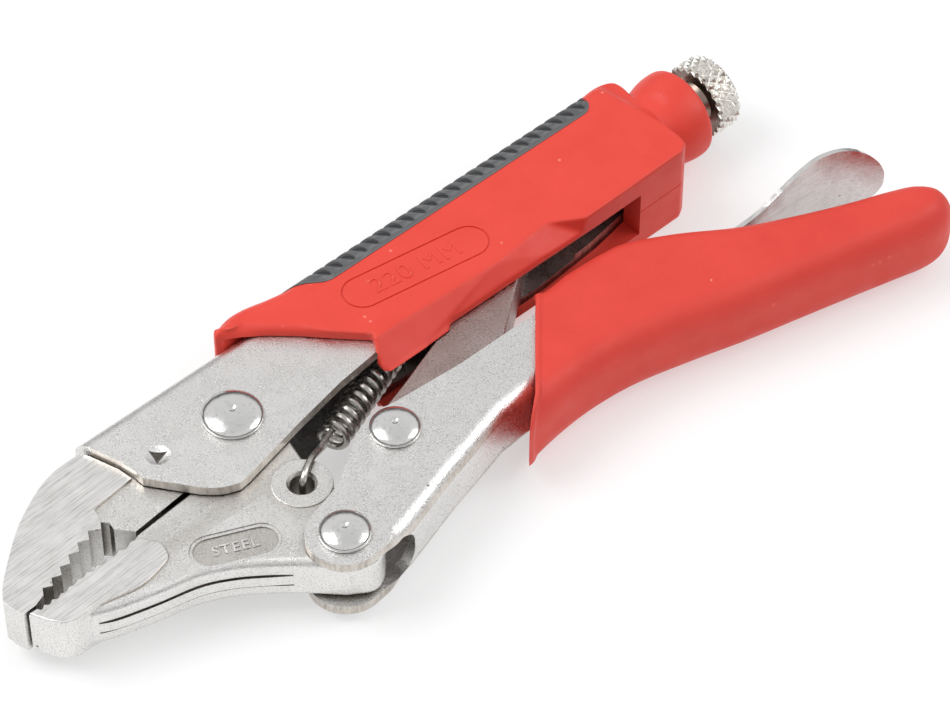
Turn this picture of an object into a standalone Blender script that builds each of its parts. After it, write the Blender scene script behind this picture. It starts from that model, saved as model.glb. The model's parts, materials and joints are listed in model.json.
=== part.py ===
"""Curved-jaw locking pliers, lying on one side, in metres with +Z up.

The drawing frame used below is in millimetres. Its origin is the main jaw pivot at mid-thickness,
+X runs from the jaws to the adjusting screw, +Y towards the fixed handle's back, and every hinge
axis is along Z. The empty tool_frame carries that frame, so that the world origin is the bottom
centre of the whole tool.
"""
import math

import bmesh
import bpy
from mathutils import Matrix, Vector

MM = 0.001
GAP = 0.3                 # clearance between neighbouring pieces

# Where the drawing frame's origin lies from the bottom centre of the whole tool.
TOOL_ORIGIN = (-46.95, 19.4, 10.6)

# Driving heights, measured from the tool's mid-plane.
SHEET = 2.3               # steel sheet of both channels
CHANNEL_IN = 5.7          # inner face of a side plate
CHANNEL_OUT = CHANNEL_IN + SHEET
TANG = CHANNEL_IN - GAP   # jaw where it runs between the plates
NOSE = 5.9                # ground faces of the jaw noses
LINK_HALF = 5.2
GRIP_HALF = 10.6
SLEEVE_HALF = 9.5
RIVET_TOP = 10.6

# Pivots of the four-bar linkage, and the adjusting screw.
JAW_PIVOT = (0.0, 0.0)
HANDLE_PIVOT = (-3.5, -39.4)
LINK_PIVOT = (22.6, -25.4)
LINK_NOSE = (86.5, 6.5)
LINK_NOSE_RADIUS = 4.2
LEVER_PIVOT = (80.0, -27.0)
SCREW_Y = 7.2

MAIN_HEAD, MAIN_SHANK = 6.6, 4.0
SMALL_HEAD, SMALL_SHANK = 5.5, 3.0
LEVER_PIN = 1.8
HUB_RADIUS = 9.2          # moving jaw's hub round the main pivot
JAW_EYE_RADIUS = 6.3      # moving jaw's eye round the handle pivot
EAR_RADIUS = 8.3
LINK_EYE_RADIUS = 6.3
SPRING_HOLE = (0.0, -21.9)
SPRING_HOLE_RADIUS = 2.9

FRAME_BACK = 17.0
FRAME_END = 124.0
SCREW_TIP = 94.7
SCREW_RADIUS = 4.6
RING_START, RING_END = 98.0, 99.2
BUSH_START, BUSH_END = 116.0, 138.3
BUSH_RADIUS = 8.0
BUSH_BORE = 4.9
COLLAR_RADIUS = 10.0
COLLAR_END = 137.0
KNOB_START, KNOB_END, KNOB_RADIUS = 142.2, 148.7, 8.5

SPRING_START = Vector((15.0, -13.5, 0.0))
SPRING_END = Vector((46.0, -1.6, 0.0))
SPRING_WIRE = 0.75
SPRING_RADIUS = 2.9
SPRING_TURNS = 14
ANCHOR = (57.0, 16.4)     # spring's rear hook, in a hole of the frame's back


# --- outlines ------------------------------------------------------------------------------

def arc(centre, radius, start, end, steps):
    """Points of a circular arc, with its angles in degrees."""
    points = []
    for i in range(steps + 1):
        angle = math.radians(start + (end - start) * i / steps)
        points.append((centre[0] + radius * math.cos(angle), centre[1] + radius * math.sin(angle)))
    return points


def through(points, steps):
    """A smooth Catmull-Rom run through all the points."""
    guide = [points[0]] + list(points) + [points[-1]]
    run = []
    for a, b, c, d in zip(guide, guide[1:], guide[2:], guide[3:]):
        for i in range(steps):
            t = i / steps
            run.append(tuple(
                0.5 * (2 * b[k] + (c[k] - a[k]) * t + (2 * a[k] - 5 * b[k] + 4 * c[k] - d[k]) * t * t
                       + (3 * b[k] - a[k] - 3 * c[k] + d[k]) * t ** 3)
                for k in range(len(b))))
    run.append(tuple(points[-1]))
    return run


def smoothstep(t):
    t = max(0.0, min(1.0, t))
    return t * t * (3 - 2 * t)


# --- scene, looks and mesh tools -----------------------------------------------------------

for old in list(bpy.data.objects):
    bpy.data.objects.remove(old)


def new_collection(name):
    made = bpy.data.collections.new(name)
    bpy.context.scene.collection.children.link(made)
    return made


PARTS = new_collection("locking_pliers")
CUTTERS = new_collection("cutters")
TOOL_FRAME = bpy.data.objects.new("tool_frame", None)
TOOL_FRAME.location = Vector(TOOL_ORIGIN) * MM
PARTS.objects.link(TOOL_FRAME)


def look(name, colour, roughness, metallic):
    made = bpy.data.materials.new(name)
    made.use_nodes = True
    shader = made.node_tree.nodes["Principled BSDF"]
    shader.inputs["Base Color"].default_value = (*colour, 1)
    shader.inputs["Roughness"].default_value = roughness
    shader.inputs["Metallic"].default_value = metallic
    return made


PLATED = (0.62, 0.61, 0.59)
LOOKS = {
    "fixed_frame": look("plated_sheet", PLATED, 0.38, 1.0),
    "fixed_jaw": look("forged_jaw", PLATED, 0.32, 1.0),
    "moving_jaw": look("forged_jaw_moving", PLATED, 0.34, 1.0),
    "moving_handle": look("plated_sheet_handle", PLATED, 0.38, 1.0),
    "toggle_link": look("plated_link", PLATED, 0.42, 1.0),
    "jaw_pivot_rivet": look("polished_rivet_main", (0.75, 0.74, 0.72), 0.15, 1.0),
    "handle_pivot_rivet": look("polished_rivet_handle", (0.75, 0.74, 0.72), 0.15, 1.0),
    "link_rivet": look("polished_rivet_link", (0.75, 0.74, 0.72), 0.15, 1.0),
    "lever_rivet": look("plain_rivet", PLATED, 0.3, 1.0),
    "release_lever": look("satin_strip", (0.68, 0.67, 0.65), 0.25, 1.0),
    "adjusting_screw": look("nickel_screw", (0.7, 0.67, 0.62), 0.28, 1.0),
    "screw_bush": look("turned_bush", (0.6, 0.57, 0.52), 0.3, 1.0),
    "screw_stop_ring": look("spring_steel_ring", (0.3, 0.29, 0.28), 0.4, 1.0),
    "return_spring": look("oiled_spring_wire", (0.16, 0.15, 0.14), 0.3, 1.0),
    "fixed_grip": look("red_moulded_plastic", (0.75, 0.06, 0.035), 0.45, 0.0),
    "grip_insert": look("grey_rubber", (0.06, 0.06, 0.065), 0.6, 0.0),
    "moving_grip": look("red_dipped_vinyl", (0.72, 0.05, 0.03), 0.55, 0.0),
}


def prism(outline, low, high):
    """Closed mesh of a flat outline, extruded between two heights."""
    curve = bpy.data.curves.new("outline", "CURVE")
    curve.dimensions = "2D"
    curve.fill_mode = "BOTH"
    curve.extrude = (high - low) / 2 * MM
    spline = curve.splines.new("POLY")
    spline.points.add(len(outline) - 1)
    for point, (x, y) in zip(spline.points, outline):
        point.co = (x * MM, y * MM, 0, 1)
    spline.use_cyclic_u = True
    shape = meshed(curve)
    bmesh.ops.translate(shape, vec=(0, 0, (low + high) / 2 * MM), verts=shape.verts)
    return shape


def meshed(curve):
    """A curve's solid as a bmesh with welded caps and whole flat faces."""
    holder = bpy.data.objects.new("outline", curve)
    bpy.context.scene.collection.objects.link(holder)
    graph = bpy.context.evaluated_depsgraph_get()
    mesh = bpy.data.meshes.new_from_object(holder.evaluated_get(graph))
    bpy.data.objects.remove(holder)
    shape = bmesh.new()
    shape.from_mesh(mesh)
    bpy.data.meshes.remove(mesh)
    bmesh.ops.remove_doubles(shape, verts=shape.verts, dist=1e-6)
    bmesh.ops.dissolve_limit(shape, angle_limit=0.005, verts=shape.verts, edges=shape.edges)
    bmesh.ops.recalc_face_normals(shape, faces=shape.faces)
    return shape


def along_x(shape):
    """Turns a prism's outline into the YZ plane, so that it is extruded along X."""
    turn = Matrix(((0, 0, 1, 0), (1, 0, 0, 0), (0, 1, 0, 0), (0, 0, 0, 1)))
    bmesh.ops.transform(shape, matrix=turn, verts=shape.verts)
    return shape


def along_y(shape):
    """Turns a prism's outline into the ZX plane, so that it is extruded along Y."""
    turn = Matrix(((0, 1, 0, 0), (0, 0, 1, 0), (1, 0, 0, 0), (0, 0, 0, 1)))
    bmesh.ops.transform(shape, matrix=turn, verts=shape.verts)
    return shape


def soften(shape, radius, segments, chosen):
    """Rounds the edges for which chosen(middle in mm) is true."""
    edges = []
    for edge in shape.edges:
        middle = (edge.verts[0].co + edge.verts[1].co) / 2 / MM
        sharp = len(edge.link_faces) == 2 and edge.calc_face_angle() > 0.6
        if sharp and chosen(middle):
            edges.append(edge)
    bmesh.ops.bevel(shape, geom=edges, offset=radius * MM, segments=segments, profile=0.5,
                    affect="EDGES", clamp_overlap=True)
    return shape


def rod(centre, radius, low, high, axis="Z", segments=28):
    """A plain cylinder mesh between two positions along one axis."""
    shape = bmesh.new()
    bmesh.ops.create_cone(shape, cap_ends=True, segments=segments, radius1=radius * MM,
                          radius2=radius * MM, depth=(high - low) * MM)
    middle = (low + high) / 2
    if axis == "X":
        bmesh.ops.rotate(shape, matrix=Matrix.Rotation(math.pi / 2, 3, "Y"), verts=shape.verts)
        place = Vector((middle, centre[0], centre[1]))
    elif axis == "Y":
        bmesh.ops.rotate(shape, matrix=Matrix.Rotation(math.pi / 2, 3, "X"), verts=shape.verts)
        place = Vector((centre[0], middle, centre[1]))
    else:
        place = Vector((centre[0], centre[1], middle))
    bmesh.ops.translate(shape, vec=place * MM, verts=shape.verts)
    return shape


def block(low, high):
    """A box mesh between two corners."""
    shape = bmesh.new()
    bmesh.ops.create_cube(shape, size=1)
    size = Vector(high) - Vector(low)
    bmesh.ops.scale(shape, vec=size * MM, verts=shape.verts)
    bmesh.ops.translate(shape, vec=(Vector(low) + Vector(high)) / 2 * MM, verts=shape.verts)
    return shape


def store(name, shape, collection, pivot=(0.0, 0.0)):
    """Makes the object of a mesh that was drawn in the drawing frame, with its origin on a pivot."""
    place = Vector((pivot[0], pivot[1], 0)) * MM
    bmesh.ops.translate(shape, vec=-place, verts=shape.verts)
    mesh = bpy.data.meshes.new(name)
    shape.to_mesh(mesh)
    shape.free()
    made = bpy.data.objects.new(name, mesh)
    made.location = place
    made.parent = TOOL_FRAME
    collection.objects.link(made)
    return made


def piece(name, shape, pivot=(0.0, 0.0)):
    """One named sub-part of the tool."""
    made = store(name, shape, PARTS, pivot)
    made.data.materials.append(LOOKS[name])
    made.data.shade_smooth()
    made.data.set_sharp_from_angle(angle=math.radians(35))
    return made


def combine(target, shape, label, operation="DIFFERENCE"):
    """Cuts or joins a guide mesh, which stays in the cutters' collection."""
    guide = store(f"{target.name}_{label}", shape, CUTTERS)
    guide.hide_render = True
    guide.display_type = "WIRE"
    modifier = target.modifiers.new(label, "BOOLEAN")
    modifier.operation = operation
    modifier.solver = "EXACT"
    modifier.object = guide
    return target


def turned(name, profile, place, axis="Z", steps=32):
    """A solid of revolution: the profile runs down its outer side as (radius, position) pairs."""
    mesh = bpy.data.meshes.new(name)
    verts = [(radius * MM, 0, height * MM) for radius, height in profile]
    mesh.from_pydata(verts, [(i, i + 1) for i in range(len(verts) - 1)], [])
    made = bpy.data.objects.new(name, mesh)
    made.location = Vector(place) * MM
    if axis == "X":
        made.rotation_euler = (0, math.pi / 2, 0)
    made.parent = TOOL_FRAME
    made.data.materials.append(LOOKS[name])
    PARTS.objects.link(made)
    spin = made.modifiers.new("turn", "SCREW")
    spin.steps = steps
    spin.render_steps = steps
    spin.use_merge_vertices = True
    spin.merge_threshold = 0.00001
    return made


# --- fixed frame: folded channel with its open side towards the moving handle ----------------

def build_fixed_frame():
    plate_front = [(-24.5, -0.4), (-24.5, 2.0), (-25.1, 6.2), (-27.3, 13.3)]
    plate_edge = [(80, -7.0), (36, -6.4), (22.6, -8.0), (9.4, -10.6), (-7.6, -14.5)]
    outline = [(-28.6, FRAME_BACK), (FRAME_END, FRAME_BACK), (FRAME_END, -1.0), (110, -3.8),
               (98, -5.6)]
    outline += plate_edge
    outline += through([(-10.4, -14.9), (-14.2, -13.2), (-17.4, -10.3)], 3)
    outline += plate_front
    shape = prism(outline, -CHANNEL_OUT, CHANNEL_OUT)
    soften(shape, 4.0, 4, lambda p: p.y > FRAME_BACK - 0.1 and abs(p.z) > CHANNEL_OUT - 0.1)
    frame = piece("fixed_frame", shape)

    back = FRAME_BACK - SHEET
    inside = prism([(-40, -30), (140, -30), (140, back), (-40, back)], -CHANNEL_IN, CHANNEL_IN)
    soften(inside, 1.3, 3, lambda p: p.y > back - 0.1 and abs(p.z) > CHANNEL_IN - 0.1)
    combine(frame, inside, "channel")
    combine(frame, rod(JAW_PIVOT, MAIN_SHANK + GAP, -12, 12), "pivot_hole")
    combine(frame, rod((ANCHOR[0], 0), 1.5, 12, 20, "Y", 12), "spring_hole")
    for side in (1, -1):
        dimple = bmesh.new()
        bmesh.ops.create_cone(dimple, cap_ends=True, segments=3, radius1=0.2 * MM,
                              radius2=3.6 * MM, depth=1.6 * MM)
        flip = Matrix.Rotation(0 if side > 0 else math.pi, 3, "X")
        spin = Matrix.Rotation(math.radians(100 * side), 3, "Z")
        bmesh.ops.rotate(dimple, matrix=flip @ spin, verts=dimple.verts)
        height = side * (CHANNEL_OUT - 0.7)
        bmesh.ops.translate(dimple, vec=Vector((-18.2, 2.4, height)) * MM, verts=dimple.verts)
        combine(frame, dimple, "stake_top" if side > 0 else "stake_bottom")


# --- jaws ------------------------------------------------------------------------------------

def fixed_teeth():
    """Saw teeth from the throat forwards to the tip, growing towards the throat."""
    def crest(x):
        return -9.5 + 5.8 * smoothstep((x + 60) / 22.5)

    teeth = []
    x = -37.0
    pitch = 3.6
    while x > -59.0:
        teeth.append((x, crest(x) + 0.50 * pitch))
        teeth.append((x - 0.35 * pitch, crest(x - 0.35 * pitch)))
        x -= pitch
        pitch -= 0.13
    return teeth


def build_fixed_jaw():
    outline = fixed_teeth()
    outline += [(-60.4, -10.3), (-63.6, -10.5), (-64.4, -7.5), (-64.5, -4.9)]
    outline += through([(-62.6, -2.3), (-58.8, 1.3), (-50.6, 8.0), (-41.0, 13.3), (-34.0, 15.8)], 3)
    outline += [(-29.3, 16.3), (-27.9, 13.4), (-25.6, 6.3), (-25.2, 2.6), (-36.0, 1.4)]
    outline += [(-36.6, -0.6)]
    jaw = piece("fixed_jaw", prism(outline, -NOSE, NOSE))
    seat = FRAME_BACK - SHEET - GAP
    tang = [(-38.0, 0.8), (-37.02, -1.9), (-35.8, -3.2), (-36.2, -5.2), (-34.0, -7.7)]
    tang += [(-33.3, -8.7), (-19.6, -7.3)]
    tang += arc(JAW_PIVOT, HUB_RADIUS + 0.5, 215, 125, 7)
    tang += [(-5.6, seat), (-29.0, seat)]
    tang = prism(tang, -TANG, TANG)
    soften(tang, 1.0, 2, lambda p: p.y > seat - 0.1 and abs(p.z) > TANG - 0.1)
    combine(jaw, tang, "tang", "UNION")


def moving_teeth():
    """Finer saw teeth, from the tip back to the throat."""
    teeth = []
    x = -60.2
    pitch = 2.0
    while x < -37.5:
        crest = -11.1 + 0.9 * smoothstep((x + 58) / 10)
        teeth.append((x, crest - 0.8))
        teeth.append((x + 0.6 * pitch, crest))
        x += pitch
        pitch += 0.12
    return teeth


def build_moving_jaw():
    upper = [(-62.7, -10.95), (-60.6, -11.0)] + moving_teeth() + [(-35.6, -10.3), (-33.6, -9.6)]
    belly = through([(-12.6, -37.6), (-18.5, -32.3), (-24.5, -28.6), (-31.0, -25.9), (-40.0, -23.7),
                     (-48.5, -21.2), (-53.5, -18.9)], 3)
    tip = [(-56.6, -18.6), (-59.0, -17.6), (-61.0, -14.8)]
    body = upper + [(-20.0, -8.2)]
    body += arc(JAW_PIVOT, HUB_RADIUS, 222, -35, 16)
    body += [(5.6, -12.6), (4.2, -18.6), (4.5, -24.0), (3.4, -35.5)]
    body += arc(HANDLE_PIVOT, JAW_EYE_RADIUS, -10, -190, 12)
    body += belly + tip
    jaw = piece("moving_jaw", prism(body, -TANG, TANG))
    nose = upper[:-1] + [(-34.0, -10.6)]
    nose += through([(-31.4, -14.6), (-32.6, -18.4), (-36.5, -19.9), (-42.0, -20.6), (-49.0, -19.2),
                     (-53.5, -18.6)], 3)
    nose += tip
    combine(jaw, prism(nose, -NOSE, NOSE), "nose", "UNION")
    combine(jaw, rod(JAW_PIVOT, MAIN_SHANK + GAP, -12, 12), "pivot_hole")
    combine(jaw, rod(HANDLE_PIVOT, SMALL_SHANK + GAP, -12, 12), "handle_hole")
    combine(jaw, rod(SPRING_HOLE, SPRING_HOLE_RADIUS, -12, 12, segments=20), "spring_hole")


# --- moving handle, toggle link and release lever ---------------------------------------------

HANDLE_BACK = [(11, -45.6), (24, -41.6), (43, -36.6), (53, -36.0), (65, -37.0), (78, -39.5),
               (92, -43.0), (104, -46.6), (117, -49.9), (130, -53.0), (143, -56.4), (149.5, -58.0)]
HANDLE_MOUTH = [(141, -45.0), (130, -40.2), (118, -34.2), (108, -27.6), (100, -23.0), (91, -20.6),
                (78, -20.2), (65, -21.2), (45, -21.1), (29, -19.9), (22.8, -19.2)]


def offset_run(points, distance):
    """A run of points moved sideways, to its left, by a distance."""
    moved = []
    for i, point in enumerate(points):
        before = points[max(i - 1, 0)]
        after = points[min(i + 1, len(points) - 1)]
        along = Vector((after[0] - before[0], after[1] - before[1])).normalized()
        moved.append((point[0] - along.y * distance, point[1] + along.x * distance))
    return moved


def build_moving_handle():
    outline = arc(HANDLE_PIVOT, EAR_RADIUS, 100, 280, 13)
    outline += through([(0.8, -47.3), (4.2, -47.2), (9.0, -46.2)], 2)
    outline += HANDLE_BACK
    outline += [(150.4, -55.5), (149.5, -48.6)]
    outline += HANDLE_MOUTH
    outline += [(16, -20.9), (10.0, -24.8), (4.0, -28.8)]
    shape = prism(outline, -CHANNEL_OUT, CHANNEL_OUT)
    soften(shape, 3.2, 4, lambda p: abs(p.z) > CHANNEL_OUT - 0.1 and p.x > 7.0
           and on_handle_back(p))
    handle = piece("moving_handle", shape, HANDLE_PIVOT)

    inner = offset_run(HANDLE_BACK, SHEET)
    inside = [(-40, -70), (9.4, -70), (9.4, inner[0][1] - 1.0)] + inner[1:]
    inside += [(170, inner[-1][1]), (170, 0), (-40, 0)]
    cavity = prism(inside, -CHANNEL_IN, CHANNEL_IN)
    combine(handle, cavity, "channel")
    combine(handle, rod(HANDLE_PIVOT, SMALL_SHANK + GAP, -12, 12), "ear_holes")
    combine(handle, rod(LINK_PIVOT, SMALL_SHANK + GAP, -12, 12), "link_holes")
    combine(handle, rod(LEVER_PIVOT, LEVER_PIN + 0.2, -12, 12, segments=20), "lever_holes")


def on_handle_back(point):
    """True close to the folded back of the moving handle."""
    run = [(8.9, -46.2)] + HANDLE_BACK
    for (x0, y0), (x1, y1) in zip(run, run[1:]):
        if x0 - 0.01 <= point.x <= x1 + 0.01:
            level = y0 + (y1 - y0) * (point.x - x0) / (x1 - x0)
            return abs(point.y - level) < 0.3
    return False


def build_toggle_link():
    outline = arc(LINK_PIVOT, LINK_EYE_RADIUS, 107, 285, 12)
    outline += [(50.0, -26.0), (54.0, -24.4), (58.0, -20.1)]
    outline += arc(LINK_NOSE, LINK_NOSE_RADIUS, -53, 120, 9)
    outline += [(52, -9.0), (33, -15.6)]
    shape = prism(outline, -LINK_HALF, LINK_HALF)
    link = piece("toggle_link", shape, LINK_PIVOT)
    combine(link, rod(LINK_PIVOT, SMALL_SHANK + GAP, -12, 12), "rivet_hole")


def build_release_lever():
    """A bent strip: nose under the link, rolled eye on its pin, and a leaf-shaped thumb pad."""
    middle = through([(59.5, -27.4), (70, -27.0), (LEVER_PIVOT[0], LEVER_PIVOT[1] + 2.6), (92, -27.4),
                      (105, -29.4), (118, -30.1), (133, -29.3), (146, -28.4), (151, -30.2),
                      (154.3, -33.4), (155.8, -37.6)], 3)
    half = 0.8
    strip = prism(offset_run(middle, half) + offset_run(middle, -half)[::-1], -9, 9)
    lever = piece("release_lever", strip, LEVER_PIVOT)
    eye = rod(LEVER_PIVOT, LEVER_PIN + 1.9, -4.2, 4.2, segments=20)
    side = [(-4.2, 50.0), (-4.2, 118.0), (-5.6, 127.0), (-7.6, 138.0), (-8.4, 147.0)]
    side += [(-7.6, 151.6), (-5.4, 154.6), (-2.0, 156.7)]
    outline = side + [(-z, x) for z, x in side[::-1]]
    combine(lever, along_y(prism(outline, -50, -20)), "leaf", "INTERSECT")
    combine(lever, eye, "eye", "UNION")
    combine(lever, rod(LEVER_PIVOT, LEVER_PIN + 0.2, -12, 12, segments=20), "pin_hole")


# --- rivets ------------------------------------------------------------------------------------

def build_rivet(name, place, head, shank):
    """A shank with a domed head on each side plate."""
    seat = CHANNEL_OUT + 0.2
    rim = 0.5
    dome = []
    for i in range(6):
        angle = math.radians(90 * i / 5)
        dome.append((head * math.sin(angle), seat + rim + (RIVET_TOP - seat - rim) * math.cos(angle)))
    upper = dome + [(head, seat), (shank, seat)]
    profile = upper + [(radius, -height) for radius, height in upper[::-1]]
    turned(name, profile, (*place, 0), steps=28)


# --- adjusting screw, its bush and its stop ring --------------------------------------------------

def build_screw_group():
    groove = 3.9
    profile = [(0, KNOB_END), (KNOB_RADIUS - 0.6, KNOB_END), (KNOB_RADIUS, KNOB_END - 0.5),
               (KNOB_RADIUS, KNOB_START + 0.4), (KNOB_RADIUS - 0.5, KNOB_START),
               (5.4, KNOB_START + 0.5), (SCREW_RADIUS, KNOB_START - 0.6),
               (SCREW_RADIUS, RING_END + GAP), (groove, RING_END + GAP), (groove, RING_START - GAP),
               (SCREW_RADIUS, RING_START - GAP), (SCREW_RADIUS, SCREW_TIP + 1.0),
               (SCREW_RADIUS - 1.0, SCREW_TIP), (0, SCREW_TIP)]
    turned("adjusting_screw", profile, (0, SCREW_Y, 0), "X", 36)

    ring = [(groove + GAP, RING_START), (groove + GAP, RING_END), (5.4, RING_END), (5.4, RING_START),
            (groove + GAP, RING_START)]
    turned("screw_stop_ring", ring, (0, SCREW_Y, 0), "X", 28)

    bush = piece("screw_bush", block((BUSH_START, SCREW_Y - 5.8, -TANG),
                                     (FRAME_END + 2.5, SCREW_Y + 5.8, TANG)))
    nose = rod((SCREW_Y, 0), BUSH_RADIUS, FRAME_END + GAP, BUSH_END, "X", 32)
    combine(bush, nose, "nose", "UNION")
    combine(bush, rod((SCREW_Y, 0), BUSH_BORE, 100, 150, "X", 32), "bore")


# --- return spring ---------------------------------------------------------------------------------

def build_return_spring():
    """A close coil with a straight hook wire at each end."""
    axis = (SPRING_END - SPRING_START).normalized()
    side = Vector((0, 0, 1)).cross(axis)
    front = [(0, -22.2, -3.5), (0, -22.0, 4.2), (1.2, -21.2, 6.5), (5.0, -18.9, 6.5), (9.5, -16.6, 4.6)]
    coil = []
    steps = 9
    for i in range(SPRING_TURNS * steps + 1):
        angle = 2 * math.pi * i / steps
        centre = SPRING_START.lerp(SPRING_END, i / (SPRING_TURNS * steps))
        wind = Vector((0, 0, 1)) * math.cos(angle) + side * math.sin(angle)
        coil.append(tuple(centre + wind * SPRING_RADIUS))
    rear = [(50.5, 2.0, 1.4), (54.5, 7.5, 0.3), (56.6, 11.5, 0), (ANCHOR[0], 13.6, 0),
            (ANCHOR[0], ANCHOR[1], 0)]
    wire = through(front, 2) + coil + through(rear, 2)
    curve = bpy.data.curves.new("return_spring", "CURVE")
    curve.dimensions = "3D"
    curve.bevel_depth = SPRING_WIRE * MM
    curve.bevel_resolution = 1
    curve.use_fill_caps = True
    spline = curve.splines.new("POLY")
    spline.points.add(len(wire) - 1)
    for point, place in zip(spline.points, wire):
        point.co = (*(value * MM for value in place), 1)
    piece("return_spring", meshed(curve))


# --- grips -------------------------------------------------------------------------------------------

def build_fixed_grip():
    back = through([(11.8, 20.4), (16, 21.7), (20.5, 21.6), (26, 20.3), (30.5, 19.5)], 3)
    back += [(60, 19.5), (120, 19.5)]
    back += [(125, 19.0), (127.5, 17.4)]
    lower = [(127.5, -5.6), (124.2, -9.4), (96, -9.8), (52.4, -9.6), (50.8, -11.0), (44.6, -11.3),
             (38, -12.7), (34.4, -12.2), (32.9, -10.3), (33.4, -7.4)]
    mouth = [(35.4, -3.9), (29.2, 2.6), (24.8, 7.4), (19.6, 12.4), (15.0, 15.4), (10.6, 18.4)]
    shape = prism(back + lower + mouth, -GRIP_HALF, GRIP_HALF)
    soften(shape, 4.0, 3, lambda p: p.y > 18.0 and p.x > 11 and abs(p.z) > GRIP_HALF - 0.1)
    soften(shape, 2.2, 2, lambda p: p.y < -9.0 and p.x > 36 and abs(p.z) > GRIP_HALF - 0.1)
    grip = piece("fixed_grip", shape)
    combine(grip, rod((SCREW_Y, 0), COLLAR_RADIUS, 122, COLLAR_END, "X", 32), "collar", "UNION")

    top = FRAME_BACK + GAP
    room = CHANNEL_OUT + GAP
    inside = [(-40, -30), (30, -30), (32, -7.6), (82, -7.5), (99, -6.1), (110, -4.2),
              (FRAME_END + GAP, -1.4), (FRAME_END + GAP, top), (-40, top)]
    combine(grip, prism(inside, -room, room), "frame_room")
    slot = [(20, -40), (110, -40), (110, -3.0), (20, -3.0)]
    combine(grip, prism(slot, -5.5, 5.5), "slot")
    combine(grip, rod((SCREW_Y, 0), BUSH_RADIUS + GAP, 110, 150, "X", 32), "bush_room")
    core = [(13.2, 9.2), (15.6, 9.2), (17.4, 8.5), (18.2, 6.8)]
    groove = [(13.2, 13), (23, 13), (23, -13), (13.2, -13)]
    groove += [(y, -z) for y, z in core] + core[::-1]
    combine(grip, along_x(prism(groove, 29.7, 117.3)), "insert_groove")


def build_grip_insert():
    inner = [(13.6, 9.5), (15.8, 9.5), (17.7, 8.7), (18.5, 6.9)]
    outer = [(13.6, GRIP_HALF - 0.1), (16.0, GRIP_HALF - 0.2), (18.3, 9.1), (19.5, 7.0)]
    outline = outer + [(y, -z) for y, z in outer[::-1]]
    outline += [(y, -z) for y, z in inner] + inner[::-1]
    piece("grip_insert", along_x(prism(outline, 30.0, 117.0)))


def build_moving_grip():
    top = through([(72.5, -16.4), (80, -15.6), (90, -16.2), (96, -17.6), (106, -23.0), (117.5, -30.8),
                   (129.6, -37.0), (140.3, -41.8), (149.5, -45.4)], 2)
    end = through([(154.8, -48.2), (158.4, -53.2), (156.0, -58.4), (149.0, -60.6)], 3)
    bottom = through([(143, -59.3), (129, -55.6), (116.6, -52.5), (104, -49.4), (92, -45.9),
                      (78, -42.3), (67, -41.1), (57, -41.2), (46.0, -42.4)], 2)
    shape = prism((top + end + bottom)[::-1], -SLEEVE_HALF, SLEEVE_HALF)
    soften(shape, 6.3, 4, lambda p: abs(p.z) > SLEEVE_HALF - 0.1
           and not (46.5 < p.x < 72.0 and p.y > -40.5))
    grip = piece("moving_grip", shape, HANDLE_PIVOT)

    room = CHANNEL_OUT + GAP
    low = offset_run(HANDLE_BACK[3:], -0.4)
    high = offset_run(HANDLE_MOUTH[:8], -0.4)
    inside = [(30, -38.5)] + low + [(151.0, -55.5), (150.2, -48.6)] + high + [(30, -18.5)]
    cavity = prism(inside, -room, room)
    soften(cavity, 2.6, 2, lambda p: abs(p.z) > room - 0.1 and p.x > 31 and p.y < -37.0
           and not (p.x > 149 and p.y > -56))
    combine(grip, cavity, "channel_room")
    slot = [(50, -30), (96, -30), (118, -42), (144, -51), (147.5, -45), (147.5, -5), (50, -5)]
    combine(grip, prism(slot, -5.6, 5.6), "lever_slot")


def build_lever_rivet():
    profile = [(0, CHANNEL_OUT), (LEVER_PIN, CHANNEL_OUT), (LEVER_PIN, -CHANNEL_OUT),
               (0, -CHANNEL_OUT)]
    turned("lever_rivet", profile, (*LEVER_PIVOT, 0), steps=20)


build_fixed_frame()
build_fixed_jaw()
build_moving_jaw()
build_moving_handle()
build_toggle_link()
build_release_lever()
build_rivet("jaw_pivot_rivet", JAW_PIVOT, MAIN_HEAD, MAIN_SHANK)
build_rivet("handle_pivot_rivet", HANDLE_PIVOT, SMALL_HEAD, SMALL_SHANK)
build_rivet("link_rivet", LINK_PIVOT, SMALL_HEAD, SMALL_SHANK)
build_lever_rivet()
build_screw_group()
build_return_spring()
build_fixed_grip()
build_grip_insert()
build_moving_grip()
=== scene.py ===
"""Looks of a pair of curved-jaw locking pliers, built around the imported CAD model.

Everything is drawn in the tool's own frame, in millimetres: the origin is the main jaw pivot at
mid-thickness, +X runs from the jaws to the adjusting screw, +Y towards the fixed handle's back.
"""

import json
import math

import bmesh
import bpy
from mathutils import Matrix, Vector


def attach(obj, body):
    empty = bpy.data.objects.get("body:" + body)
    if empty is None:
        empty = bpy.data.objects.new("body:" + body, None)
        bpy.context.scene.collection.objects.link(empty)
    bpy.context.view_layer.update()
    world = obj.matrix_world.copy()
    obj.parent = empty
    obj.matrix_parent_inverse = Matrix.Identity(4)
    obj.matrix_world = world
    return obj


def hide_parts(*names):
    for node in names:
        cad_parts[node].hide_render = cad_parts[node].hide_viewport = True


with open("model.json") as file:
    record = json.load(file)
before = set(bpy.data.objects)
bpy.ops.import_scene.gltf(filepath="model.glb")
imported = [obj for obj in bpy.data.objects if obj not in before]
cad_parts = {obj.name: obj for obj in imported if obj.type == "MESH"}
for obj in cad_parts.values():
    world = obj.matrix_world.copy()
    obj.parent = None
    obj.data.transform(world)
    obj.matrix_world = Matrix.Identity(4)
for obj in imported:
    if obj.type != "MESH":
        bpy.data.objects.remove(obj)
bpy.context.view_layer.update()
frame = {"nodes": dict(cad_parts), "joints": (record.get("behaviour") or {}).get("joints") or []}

MM = 0.001
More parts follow.
